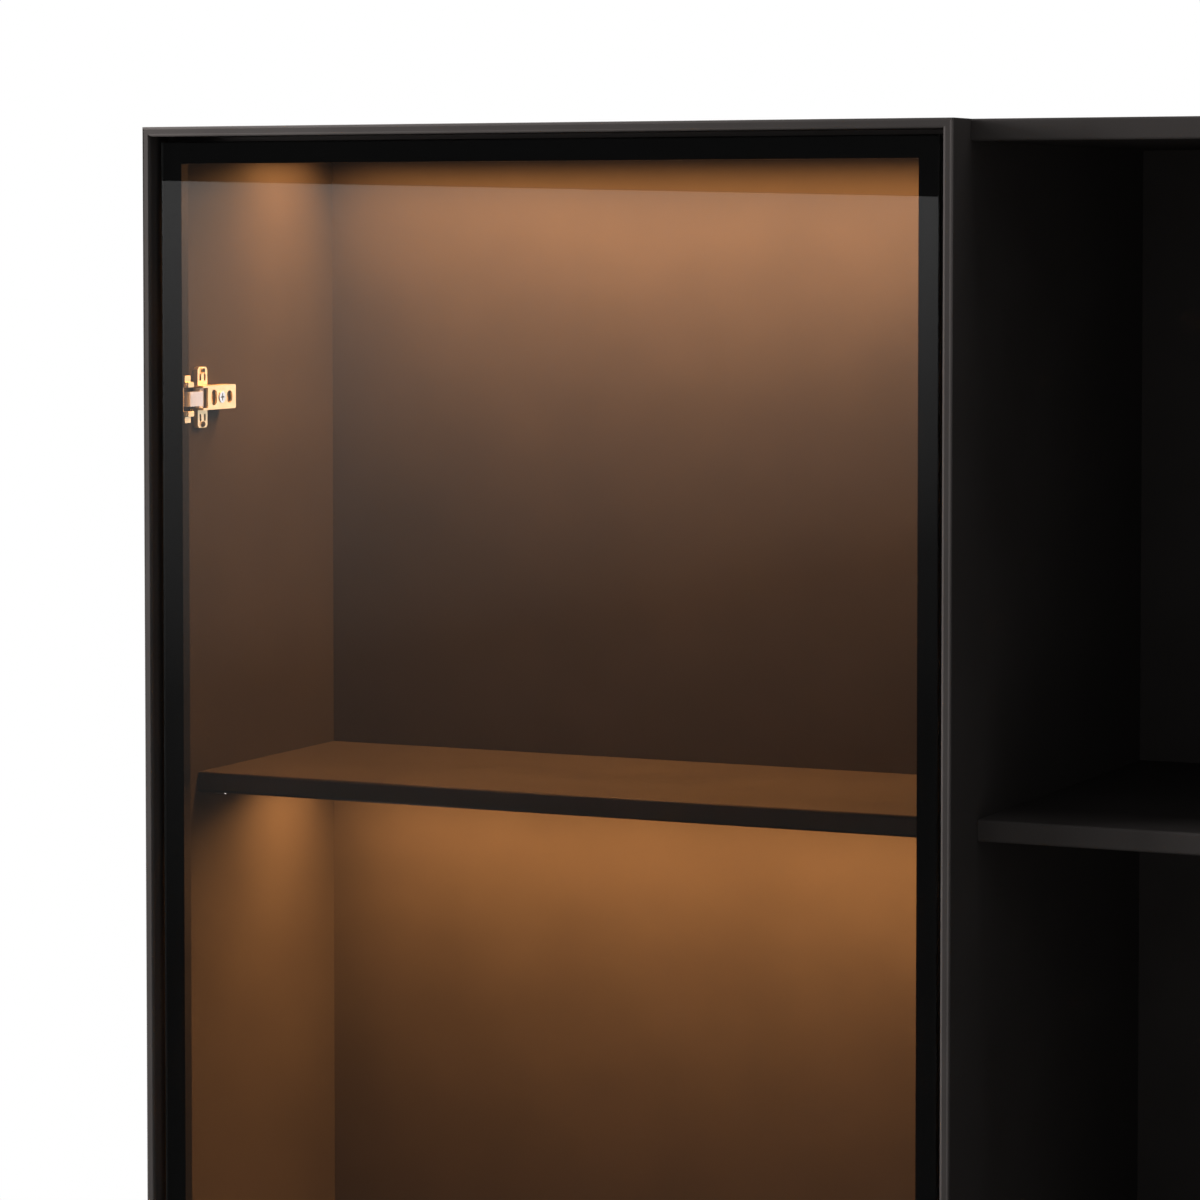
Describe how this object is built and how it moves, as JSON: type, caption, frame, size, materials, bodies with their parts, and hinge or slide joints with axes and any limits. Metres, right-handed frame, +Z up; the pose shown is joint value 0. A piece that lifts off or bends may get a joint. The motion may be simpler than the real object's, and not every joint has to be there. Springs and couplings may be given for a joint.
{
  "type": "china cabinet",
  "caption": "Wide black display cabinet: lit boxes with handle-less glass doors on concealed hinges beside an open bay of shelves, on a recessed plinth.",
  "frame": {"origin": "on the floor, under the middle of the cabinet's outline", "axes": "+X across, to the right of someone facing the doors; +Y to the back; +Z up"},
  "size_m": [2, 0.45, 1.6],
  "materials": {
    "lacquered_board": "matt black lacquer on board",
    "back_board": "matt black lacquer on thin board",
    "door_glass": "lightly tinted clear glass with a black enamelled border",
    "door_profile": "black anodised aluminium",
    "cast_cleat": "die-cast corner cleat",
    "plated_steel": "nickel-plated steel, warm in the cabinet's light",
    "hinge_steel": "nickel-plated steel, satin",
    "pin_steel": "bright zinc-plated steel",
    "beech": "fluted beech dowel",
    "latch_plastic": "black nylon",
    "led_tray": "extruded aluminium, white inside",
    "led_board": "white circuit board with warm LEDs",
    "opal_diffuser": "opal acrylic, lit warm"
  },
  "bodies": {
    "carcass": {"back_panel_screws": "pin_steel", "centre_back": "back_board", "centre_bottom": "lacquered_board", "centre_lower_shelf": "lacquered_board", "centre_top": "lacquered_board", "centre_upper_shelf": "lacquered_board", "dowels": "beech", "foot_sockets": "latch_plastic", "hinge_adjusters": "plated_steel", "hinge_arm_pins": "pin_steel", "hinge_arms": "hinge_steel", "hinge_plate_screws": "pin_steel", "hinge_plates": "plated_steel", "latch_housings": "latch_plastic", "led_boards": "led_board", "led_diffusers": "opal_diffuser", "led_drivers": "latch_plastic", "led_trays": "led_tray", "left_bottom": "lacquered_board", "left_display_back": "back_board", "left_inner_side": "lacquered_board", "left_lower_shelf": "lacquered_board", "left_outer_side": "lacquered_board", "left_rear_panel": "back_board", "left_top": "lacquered_board", "left_upper_shelf": "lacquered_board", "levelling_feet": "latch_plastic", "plinth_cross_rails": "lacquered_board", "plinth_rails": "lacquered_board", "right_bottom": "lacquered_board", "right_display_back": "back_board", "right_inner_side": "lacquered_board", "right_lower_shelf": "lacquered_board", "right_outer_side": "lacquered_board", "right_rear_panel": "back_board", "right_top": "lacquered_board", "right_upper_shelf": "lacquered_board", "shelf_pins": "pin_steel"},
    "left_door": {"left_door_glass": "door_glass", "left_door_hinge_stile": "door_profile", "left_door_free_stile": "door_profile", "left_door_top_rail": "door_profile", "left_door_bottom_rail": "door_profile", "left_door_corner_cleats": "cast_cleat", "left_hinge_cups": "hinge_steel", "left_hinge_cup_pins": "pin_steel", "left_catch_plate": "pin_steel"},
    "left_links": {"left_hinge_links": "hinge_steel"},
    "left_plunger": {"left_latch_plunger": "latch_plastic"},
    "right_door": {"right_door_glass": "door_glass", "right_door_hinge_stile": "door_profile", "right_door_free_stile": "door_profile", "right_door_top_rail": "door_profile", "right_door_bottom_rail": "door_profile", "right_door_corner_cleats": "cast_cleat", "right_hinge_cups": "hinge_steel", "right_hinge_cup_pins": "pin_steel", "right_catch_plate": "pin_steel"},
    "right_links": {"right_hinge_links": "hinge_steel"},
    "right_plunger": {"right_latch_plunger": "latch_plastic"}
  },
  "joints": [
    {"name": "left_door_turn", "type": "hinge", "parent": "carcass", "child": "left_door", "pos_m": [-0.977, -0.213, 0.8], "axis": [0, 0, -1], "range_deg": [0, 95]},
    {"name": "left_link_turn", "type": "hinge", "parent": "left_door", "child": "left_links", "pos_m": [-0.98203, -0.20813, 0.8], "axis": [0, 0, 1], "range_deg": [0, 114.5]},
    {"name": "left_plunger_slide", "type": "slide", "parent": "carcass", "child": "left_plunger", "axis": [0, 1, 0], "range_m": [0, 0.0035], "stiffness_N_per_m": 400},
    {"name": "right_door_turn", "type": "hinge", "parent": "carcass", "child": "right_door", "pos_m": [0.977, -0.213, 0.8], "axis": [0, 0, 1], "range_deg": [0, 95]},
    {"name": "right_link_turn", "type": "hinge", "parent": "right_door", "child": "right_links", "pos_m": [0.98203, -0.20813, 0.8], "axis": [0, 0, -1], "range_deg": [0, 114.5]},
    {"name": "right_plunger_slide", "type": "slide", "parent": "carcass", "child": "right_plunger", "axis": [0, 1, 0], "range_m": [0, 0.0035], "stiffness_N_per_m": 400}
  ],
  "couplings": [
    {"joint": "left_link_turn", "follows": "left_door_turn", "ratio": 1.1972},
    {"joint": "right_link_turn", "follows": "right_door_turn", "ratio": 1.1972}
  ]
}
